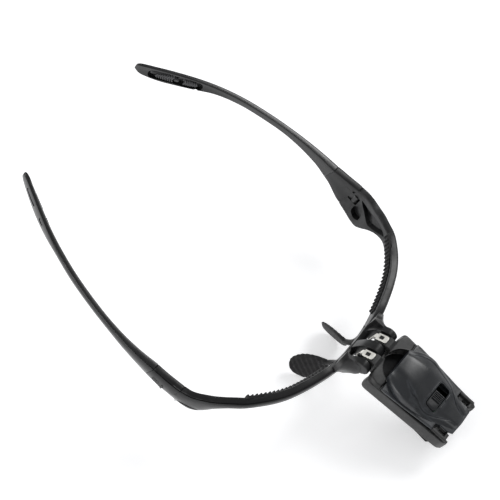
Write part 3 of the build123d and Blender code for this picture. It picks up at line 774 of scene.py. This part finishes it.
def release_tab():
    """Press tab with a finger lip at its front end."""
    outline = rounded([(-13.05, -10.35), (-6.75, -11.3), (-6.75, -7.2), (-13.05, -6.45)], 0.45)
    tab = prism(outline, 74.3, 75.95, "side", 0.2)
    ribs = []
    for f in (-12.2, -11.2, -10.2):
        rib = rounded([(f, -10.0), (f + 0.5, -10.05), (f + 0.5, -7.2), (f, -7.15)], 0.2)
        ribs.append(prism(rib, 75.7, 76.2, "side", 0.12))
    lip = rounded([(-7.7, -11.0), (-7.0, -11.1), (-7.0, -7.4), (-7.7, -7.3)], 0.3)
    return combine(tab, ribs + [prism(lip, 75.7, 76.35, "side", 0.2)])


GRIP_ORIGIN = at(51.6, -104.5, -8.2)
GRIP_ALONG = Vector((-0.487, 0.873, 0))     # towards the tip
GRIP_IN = Vector((-0.873, -0.487, 0))       # towards the head
GRIP_RISE = 0.10                            # the grip falls by this share towards the tip


def grip_point(along, up, out):
    """A point from the ear grip's own directions: towards the tip, up, towards the head."""
    rise = up + 0.2 - GRIP_RISE * along
    return GRIP_ORIGIN + GRIP_ALONG * along + Vector((0, 0, 1)) * rise + GRIP_IN * out


def grip_slab(outline, low, high, edge=0.0):
    """A slab on the inner face of the temple's tip."""
    levels = [(0, low), (0, high)] if edge == 0 else [
        (edge, low), (0, low + edge), (0, high - edge), (edge * 0.3, high - edge * 0.3), (edge, high)]
    return layered(grip_point, outline, levels)


GRIP_SLOTS = ((9.0, 9.5), (-4.6, 3.4))      # place along the grip and length of the key slots


SLANTED_RINGS = 9       # rings over which the temple's front end loses the seam's slant


def temple():
    """Side arm, with a plug for the hinge block and a bed and two key slots for the ear grip."""
    stations = curve(TEMPLE, 110)
    rings = [side_ring(s, lambda h: 0.0) for s in stations]
    for index in range(SLANTED_RINGS):
        fade = (1 - index / SLANTED_RINGS) ** 1.4
        rings[index] = side_ring(stations[index], lambda h: (rear_seam(h) + 0.34) * fade)
    body = loft(soft_ends(rings, SEAM_EDGE, 0))
    plug = block(72.2, 73.65, -19, -7.2, -9.8, -4.4, 0.3)
    body = combine(body, [plug])
    bed = grip_slab(slot_outline(0.6, 0, 28.4, 6.0, 0, 16), -1.45, 3.0)
    slots = [grip_slab(slot_outline(a, 0.9, length + 0.5, 2.7, 0, 8), -6.0, 1.0) for a, length in GRIP_SLOTS]
    return cut(body, bed, *slots)


def ear_grip():
    """Oval grip with herring-bone ribs on both sides of a small boss, and its two keys."""
    body = grip_slab(slot_outline(0.6, 0, 27.6, 5.2, 0, 16), -1.4, -0.6, 0.2)
    ribs = []
    for side in (-1, 1):
        for index in range(8):
            centre = side * (2.6 + index * 1.15)
            reach = 2.15 * math.sqrt(max(0.05, 1 - (abs(centre) / 13.6) ** 2))
            for half in (-1, 1):
                a = Vector((centre, 0.0))
                b = Vector((centre - side * 0.9, half * reach))
                across = Vector((0.27, 0))
                quad = [a - across, a + across, b + across, b - across]
                if half < 0:
                    quad.reverse()
                ribs.append(grip_slab(quad, -0.8, 0.3, 0.12))
    boss = grip_slab(slot_outline(0, 0, 2.4, 1.7, 0, 8), -0.8, 0.25, 0.15)
    keys = [grip_slab(slot_outline(a, 0.9, length, 2.1, 0, 8), -2.75, -0.6, 0.2) for a, length in GRIP_SLOTS]
    return combine(body, ribs + [boss] + keys)


# ---- bracket ----
WELL = (0.0, 71.8)              # centre of the round well: x, forward
WELL_R = 10.3
DECK_LOW, DECK_TOP = 20.4, 22.3
CLIP_SLOPE = math.radians(34.5)
CLIP_X = 5.75
CLIP_CENTRE = (54.5, 22.15)     # forward, z


def skirt():
    """Left side wall: softened foot and top, a rounded rear corner and a chamfered front."""
    plan = [(13.0, 61.3), (14.6, 61.4), (15.6, 61.9), (16.2, 62.9), (16.3, 65.0), (15.1, 88.0),
            (14.0, 106.6), (13.6, 108.4), (12.5, 109.9), (11.2, 109.9), (11.0, 108.2), (12.4, 106.6),
            (13.6, 88.0), (14.8, 66.0), (14.3, 64.2), (13.0, 63.6)]
    return layered(at, plan, [(0.35, 13.6), (0.08, 13.9), (0.0, 14.6), (-0.06, 18.0), (0.02, 21.2),
                              (0.12, 21.9), (0.4, 22.2)])


def wing():
    """Raised shoulder behind the lamp's cover, sloping out to the skirt."""
    plan = [(2.2, 61.3), (10.6, 61.3), (13.3, 62.0), (14.4, 63.4), (14.8, 66.0), (14.6, 68.4),
            (9.0, 69.2), (2.2, 69.2)]
    shoulder = [(2.2, 61.0), (11.0, 61.0), (14.4, 61.4), (16.0, 63.2), (16.3, 66.4), (16.1, 69.3),
                (9.0, 69.3), (2.2, 69.3)]
    levels = ((DECK_LOW, 0.0, 1.0), (20.7, 0.0, 1.0), (22.1, 0.0, 0.72), (23.7, 0.0, 0.06),
              (23.95, 0.12, 0.0), (24.05, 0.45, 0.0))
    rings = []
    for z, shrink, mix in levels:
        outline = [Vector(a) * (1 - mix) + Vector(b) * mix for a, b in zip(plan, shoulder)]
        rings.append([at(p.x, p.y, z) for p in inset(outline, shrink)])
    return loft(rings)


def well_tool(radius, low, high):
    return prism(disc_outline(*WELL, radius, 72), low, high, "plan", 0)


def well_rim():
    """Left half of the rounded lip round the well, moulded on the shoulder."""
    reach = WELL_R + 0.25
    path = [at(WELL[0] + reach * math.cos(a), WELL[1] + reach * math.sin(a), 23.75)
            for a in np.linspace(math.radians(-168), math.radians(-12), 40)]
    return cut(tube(path, [0.42] * len(path), 10), block(-20, 2.4, 50, 90, 10, 40, 0))


def bracket_hook():
    """L shaped finger over the lamp's front corner, with the catch behind it."""
    finger = block(11.5, 13.2, 99.9, 108.2, 19.0, 23.7, 0.3)
    tip = block(8.9, 12.2, 106.6, 108.2, 19.0, 23.5, 0.3)
    catch = block(9.2, 11.8, 100.6, 103.0, 19.0, 22.4, 0.2)
    return combine(finger, [tip, catch])


def knuckle():
    """Knuckle on the tilt pin: rounded, with a bed for the clip and a boss in the clip's hole."""
    profile = [(52.6, 17.2), (52.9, 20.4), (54.0, 21.7), (57.6, 24.1), (59.6, 24.6), (61.4, 24.0),
               (64.0, 22.6), (64.0, 15.6), (57.5, 15.4), (54.2, 15.7)]
    radii = [1.2, 1.0, 0.9, 1.2, 1.2, 1.0, 0.8, 0.8, 2.0, 1.5]
    body = prism(rounded(profile, radii, 5), 2.9, 8.6, "side", 0.35)
    bed = clip_slab(clip_plate(0.25), -0.05, 2.2)
    body = cut(body, bed)
    boss = clip_slab(rounded([(-0.95, -0.8), (0.95, -0.8), (0.95, 0.8), (-0.95, 0.8)], 0.5), -0.6, 0.75, 0.2)
    lug = prism(disc_outline(51.9, 20.4, 1.25, 24), 7.6, 8.6, "side", 0.3)
    arm = block(7.6, 8.6, 51.4, 54.2, 17.4, 20.8, 0.2)
    return combine(body, [boss, lug, arm])


def clip_slab(outline, low, high, edge=0.0):
    """A slab in the clip's plane: u forward and up the slope, v towards the wearer's left."""
    run, rise = math.cos(CLIP_SLOPE), math.sin(CLIP_SLOPE)

    def place(u, v, w):
        return at(CLIP_X + v, CLIP_CENTRE[0] + u * run - w * rise, CLIP_CENTRE[1] + u * rise + w * run)

    levels = [(0, low), (0, high)] if edge == 0 else [
        (edge, low), (0, low + edge), (0, high - edge), (edge * 0.35, high - edge * 0.35), (edge, high)]
    return layered(place, outline, levels)


def clip_plate(grow=0.0):
    """D outline: square at the rear, rounded at the front."""
    reach = 2.0 + grow
    corners = [(-2.5 - grow, -reach), (3.6 + grow, -reach), (3.6 + grow, reach), (-2.5 - grow, reach)]
    return rounded(corners, [0.3, 1.0, 1.5, 0.3], 6)


def detent_clip():
    """Steel clip: a D plate with a hole, and a leaf that bends down behind the knuckle."""
    plate = clip_slab(clip_plate(), 0.0, 0.5, 0.12)
    hole = clip_slab(rounded([(-1.25, -1.05), (1.35, -1.05), (1.35, 1.05), (-1.25, 1.05)], 0.55, 5), -1, 2)
    plate = cut(plate, hole)
    back, top = CLIP_CENTRE[0] - 2.06, CLIP_CENTRE[1] - 1.42
    centre_line = curve([(back + 1.0, top + 0.84), (back + 0.1, top + 0.33), (back - 0.62, top - 0.45),
                         (back - 0.78, top - 1.6), (back - 1.0, top - 4.6), (back - 1.2, 13.2)], 16)
    rings = []
    for index, (f, z) in enumerate(centre_line):
        ahead = Vector(centre_line[min(index + 1, 15)]) - Vector(centre_line[max(index - 1, 0)])
        side = Vector((-ahead.y, ahead.x)).normalized() * 0.27
        rings.append([at(CLIP_X + x, f + s * side.x, z + s * side.y)
                      for x, s in ((-1.2, -1), (1.2, -1), (1.2, 1), (-1.2, 1))])
    return combine(plate, [loft(rings)])


def lamp_bracket():
    """Deck with the well, side walls, shoulders, hooks and knuckles, and a bore for the tilt pin."""
    half = skirt()
    deck = [(0, 61.4), (13.4, 61.4), (15.2, 62.8), (14.6, 84.0), (0, 84.0)]
    half = combine(half, [prism([Vector(p) for p in deck], DECK_LOW, DECK_TOP, "plan", 0.2),
                          block(10.9, 13.6, 83, 107.6, DECK_LOW - 1.4, DECK_TOP - 0.3, 0.2),
                          wing(), knuckle(), bracket_hook(),
                          well_tool(WELL_R + 1.2, 12.5, DECK_LOW + 0.6),
                          block(0, 13.8, 62.2, 63.2, 11.5, DECK_LOW + 0.5, 0.15),
                          block(12.2, 13.8, 63.1, 65.2, 11.5, DECK_LOW + 0.5, 0.15)])
    half = cut(half, block(-20, 0, 40, 120, 0, 40, 0))
    half = cut(half, well_tool(WELL_R, 8, 32), block(-30, 10.6, WELL[1], 84.5, 8, 32, 0))
    half = combine(half, [well_rim()])
    whole = combine(half, [mirrored(half)])
    pin = prism(disc_outline(TILT_PIVOT[1], TILT_PIVOT[2], 0.96, 24), -15, 15, "side", 0)
    return cut(whole, pin)


# ---- lamp ----
COVER_LOW = 22.6
HOLLOW = 0.86       # size of the room inside the hump, as a share of the hump


def cover_plate():
    """Plate of the cover: shoulders, front notches and the tongue, sloping down to the front."""
    half = [(0, 69.5), (9.0, 69.5), (15.6, 69.6), (15.7, 72.0), (14.6, 85.0), (13.15, 99.7), (8.7, 99.7),
            (8.6, 106.2), (7.3, 109.0), (0, 109.4)]
    outline = [Vector(p) for p in half] + [Vector((-x, f)) for x, f in reversed(half[1:-1])]
    return prism(outline, COVER_LOW, 24.0, "plan", 0.4)


# Hump stations: forward, half width at the foot, crown half width, crown height, shoulder height.
HUMP = [
    (68.0, 9.6, 5.6, 30.0, 26.4), (70.5, 11.4, 6.0, 30.6, 27.0), (75.0, 13.4, 6.6, 31.0, 27.8),
    (80.0, 14.1, 7.2, 30.6, 28.0), (85.0, 13.7, 7.6, 29.2, 26.8), (90.0, 12.9, 7.8, 27.6, 25.6),
    (95.0, 11.6, 7.4, 26.4, 24.9), (100.0, 9.4, 6.2, 25.4, 24.5), (105.0, 7.6, 4.8, 24.7, 24.2),
    (108.4, 6.6, 4.0, 24.2, 24.0),
]


def hump_ring(station):
    f, foot, crown, top, shoulder = station
    base = COVER_LOW + 0.4
    right = [(foot, base), (foot * 0.995, shoulder * 0.35 + base * 0.65), (foot * 0.93, shoulder - 0.25),
             (crown + (foot - crown) * 0.52, shoulder + (top - shoulder) * 0.22),
             (crown + 0.9, shoulder + (top - shoulder) * 0.62), (crown * 0.86, top - 0.32),
             (crown * 0.45, top)]
    half = curve(right, 16)
    points = [(x, z) for x, z in half] + [(0, top + 0.05)] + [(-x, z) for x, z in reversed(half)]
    return [at(x, f, z) for x, z in points]


def hump():
    return loft([hump_ring(s) for s in curve(HUMP, 48)])


def hump_height(x, forward):
    """Height of the hump's surface over a plan point."""
    stations = curve(HUMP, 96)
    ring = hump_ring(stations[int(np.argmin(abs(stations[:, 0] - forward)))])
    zs = sorted((p.x, p.z) for p in ring[1:-1])
    return float(np.interp(x, [a for a, b in zs], [b for a, b in zs]))


def on_hump(points, lift, count=24):
    """A smooth path laid on the cover, lifted off it."""
    return [at(x, f, max(24.0, hump_height(x, f)) + lift) for x, f in curve(points, count)]


def lamp_cover():
    """Plate and hump, hollow below, with the switch window, a groove round it, creases and edge lines."""
    shell = combine(cover_plate(), [hump()])
    hollow = loft([[Vector((p.x * HOLLOW, p.y, COVER_LOW - 1 + (p.z - COVER_LOW + 0.1) * HOLLOW))
                    for p in hump_ring(s)] for s in curve([h for h in HUMP if 69 < h[0] < 101], 24)])
    window = prism(rounded([(-7.3, 88.9), (7.3, 88.9), (7.3, 95.6), (-7.3, 95.6)], 1.8, 6), 20, 34, "plan", 0)
    shell = cut(shell, hollow, window)
    # Sheet under the window's end on the +x side, put in as painted shade: it hides the floor that would show
    # through the gap between the lamp base and the side wall.
    shell = combine(shell, [block(6.7, 12.8, 88.0, 97.0, COVER_LOW + 0.05, COVER_LOW + 0.6, 0.1)])
    rim = rounded([(-7.9, 88.3), (7.9, 88.3), (7.9, 96.2), (-7.9, 96.2)], 2.3, 6)
    shell = cut(shell, tube(on_hump([tuple(p) for p in rim + rim[:1]], 0.03, 90)[:-1], [0.17] * 89, 8, True))
    creases = [
        [(10.8, 86.6), (10.5, 90.8), (9.2, 95.2), (6.9, 98.4), (4.4, 102.3), (3.0, 107.0)],
        [(-6.4, 75.5), (-8.0, 81.0), (-9.4, 86.4), (-10.3, 90.6), (-9.2, 95.2), (-6.2, 100.3), (-3.1, 104.9),
         (-2.4, 107.4)],
        [(6.2, 70.0), (9.2, 73.6), (11.0, 78.0), (11.4, 82.6), (10.9, 86.4)],
    ]
    for path in creases:
        count = 36
        widths = 0.08 + 0.26 * np.sin(np.linspace(0.12, math.pi - 0.12, count)) ** 0.6
        shell = cut(shell, tube(on_hump(path, 0.04, count), widths, 8))
    for side in (-1, 1):
        shell = cut(shell, tube([at(side * x, f, 24.02) for x, f in curve(
            [(14.9, 70.6), (14.5, 74.0), (13.9, 84.0), (12.5, 98.6)], 30)], [0.17] * 30, 8))
    for index in range(3):
        start = (-11.0 - index * 0.9, 82.0 + index * 2.0)
        points = [start, (-11.3 - index * 0.55, 89.0), (-10.9 - index * 0.2, 95.0), (-10.3, 98.6)]
        line = on_hump(points, 0.02, 20)
        shell = cut(shell, tube(line, 0.05 + 0.13 * np.sin(np.linspace(0, math.pi, 20)), 8))
    widths = [0.15, 0.3, 0.38, 0.4, 0.4, 0.4, 0.4, 0.38, 0.3, 0.15]
    return cut(shell, tube(on_hump([(-8.3, 79.3), (-8.9, 81.4), (-9.2, 83.8)], 0.0, 10), widths, 8))


def switch_slider():
    """Slider: smooth at the wearer's right, ribbed in the middle."""
    outline = rounded([(-6.9, 89.3), (2.5, 89.3), (2.5, 95.2), (-6.9, 95.2)], [1.5, 0.3, 0.3, 1.5], 5)
    plate = prism(outline, 24.6, 27.2, "plan", 0.45)
    ribs = [block(-2.4 + i * 0.9, -1.95 + i * 0.9, 89.9, 94.6, 27.0, 28.0, 0.12) for i in range(5)]
    stem = block(-3.2, -1.0, 91.0, 92.9, 20.6, 24.9, 0.1)
    return combine(plate, ribs + [stem])


def nose_pad():
    """Leaf shaped pad: scalloped rim, cross ridges on its outer face, a raised spine."""
    upper = curve([(-0.4, 0), (0.4, 3.4), (2.6, 5.8), (8.5, 8.0), (16.5, 5.4), (PAD_LENGTH, 1.6)], 40)
    lower = curve([(-0.4, 0), (0.3, -2.9), (2.2, -5.0), (8.5, -6.8), (16.5, -4.8), (PAD_LENGTH, -1.6)], 40)
    rings = []
    count = 17
    for i in range(40):
        a = upper[i][0] * 0.5 + lower[i][0] * 0.5
        shares = np.linspace(-1, 1, count)
        ring_top, ring_bottom = [], []
        scallop = 1 + 0.03 * math.cos(i * math.pi / 2)
        for s in shares:
            end = upper[i] if s > 0 else lower[i]
            along = upper[i][0] * (1 + s) / 2 + lower[i][0] * (1 - s) / 2
            across = end[1] * abs(s) * scallop
            thick = 1.1 * (1 - 0.55 * s ** 4)
            ridge = 0.42 * (0.5 + 0.5 * math.sin(along * 2.3)) * (1 - s ** 6)
            spine = 0.25 * math.exp(-(s / 0.16) ** 2)
            ring_top.append(pad_point(along, across, thick + ridge - 0.3 + spine * 0.6))
            ring_bottom.append(pad_point(along, across, -thick + 0.15))
        rings.append(ring_top + ring_bottom[::-1])
    return loft(rings)


# ---- making the pieces ----
def build():
    front_frame()
    for pad in pair(nose_pad(), "nose_pad", "frame", PAD_RUBBER, subdivide=1):
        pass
    pair(brow_strip(), "brow_strip", "frame", RUBBER)
    pair(hinge_block(), "hinge_block", "{}_block", FRAME_PLASTIC, 0.15)
    pair(release_tab(), "release_tab", "{}_tab", FRAME_PLASTIC)
    pair(temple(), "temple", "{}_temple", TEMPLE_PLASTIC, 0.12)
    pair(ear_grip(), "ear_grip", "{}_temple", GRIP_RUBBER)
    piece(lamp_bracket(), "lamp_bracket_shell", "bracket", BRACKET_PLASTIC, ["lamp_bracket"],
          0.15)
    pair(detent_clip(), "detent_clip", "bracket", STEEL)
    piece(lamp_cover(), "lamp_cover_shell", "lamp", LAMP_PLASTIC, ["lamp_cover"], 0.14)
    piece(switch_slider(), "switch_slider_shell", "switch", SWITCH_PLASTIC, ["switch_slider"])


KEPT = {
    "tilt_pin": PIN_STEEL, "temple_pin_left": PIN_STEEL, "temple_pin_right": PIN_STEEL,
    # lamp_base and switch_body take the darker copy of the lamp plastic as painted shade.
    "lamp_screws": PIN_STEEL, "lamp_base": PAINTED_SHADE_PLASTIC, "battery_door": LAMP_PLASTIC,
    "switch_body": PAINTED_SHADE_PLASTIC, "led_holder": CASE_PLASTIC, "circuit_board": BOARD_GREEN,
    "battery_contact_spring": BRASS, "battery_contact_plate": BRASS, "led_left": LENS_CLEAR,
    "led_right": LENS_CLEAR, "coin_cell_lower": CELL_STEEL, "coin_cell_upper": CELL_STEEL,
}


def dress_kept_nodes():
    """Better materials on the CAD nodes whose shape stays."""
    for name, material in KEPT.items():
        node = frame["nodes"][name]
        node.data.materials.clear()
        node.data.materials.append(material)


# ---- stage ----
CAMERA_AIM = (3.61, -19.95, 1.92)       # level frame, mm
CAMERA_TURN, CAMERA_DROP = math.radians(53.41), math.radians(54.218)
CAMERA_DISTANCE = 0.88758
FLOOR_REACH = 4.0
FLOOR_GLOW = 0.42


def camera():
    """The photograph's viewpoint: from above the wearer's right front."""
    data = bpy.data.cameras.new("camera")
    data.sensor_width = 36
    data.lens = 131.95
    data.clip_end = 10
    view = added("camera", data)
    ahead = Vector((
        math.sin(CAMERA_TURN) * math.cos(CAMERA_DROP),
        math.cos(CAMERA_TURN) * math.cos(CAMERA_DROP),
        -math.sin(CAMERA_DROP),
    ))
    target = LEVEL @ at(*CAMERA_AIM)
    view.location = target - ahead * CAMERA_DISTANCE
    view.rotation_mode = "QUATERNION"
    view.rotation_quaternion = ahead.to_track_quat("-Z", "Y")
    bpy.context.scene.camera = view


def soft_light(name, place, aim, size, power, colour=(1, 1, 1)):
    data = bpy.data.lights.new(name, "AREA")
    data.shape = "RECTANGLE"
    data.size, data.size_y = size
    data.energy = power
    data.color = colour
    lamp = added(name, data)
    lamp.location = place
    lamp.rotation_mode = "QUATERNION"
    lamp.rotation_quaternion = (Vector(aim) - Vector(place)).to_track_quat("-Z", "Y")


def floor():
    mesh = bpy.data.meshes.new("floor")
    corners = [(x * FLOOR_REACH, y * FLOOR_REACH, 0) for x, y in ((-1, -1), (1, -1), (1, 1), (-1, 1))]
    mesh.from_pydata(corners, [], [(0, 1, 2, 3)])
    ground = added("floor", mesh)
    n = Nodes("paper_floor")
    drift = n.spread(n.noise(6, 3), 0, 1)
    n.link(n.blend(drift, (0.90, 0.90, 0.905), (0.87, 0.87, 0.88)), n.shader, "Base Color")
    n.shader.inputs["Roughness"].default_value = 0.9
    n.shader.inputs["Specular IOR Level"].default_value = 0.1
    n.shader.inputs["Emission Color"].default_value = (1, 1, 1, 1)
    n.shader.inputs["Emission Strength"].default_value = FLOOR_GLOW
    mesh.materials.append(n.material)


def studio():
    scene = bpy.context.scene
    scene.view_settings.view_transform = "Standard"
    world = bpy.data.worlds.new("studio")
    scene.world = world
    world.use_nodes = True
    background = world.node_tree.nodes["Background"]
    background.inputs["Color"].default_value = (0.975, 0.985, 1, 1)
    background.inputs["Strength"].default_value = 0.40
    soft_light("key", (0.85, -0.35, 0.85), (0, -0.02, 0.02), (0.6, 0.5), 6.5)
    soft_light("left", (-1.0, 0.25, 0.45), (0, 0, 0.03), (0.7, 0.4), 4.2)
    soft_light("back", (-0.1, 1.0, 0.7), (0, 0, 0.02), (0.8, 0.5), 3.0)


build()
dress_kept_nodes()
camera()
floor()
studio()
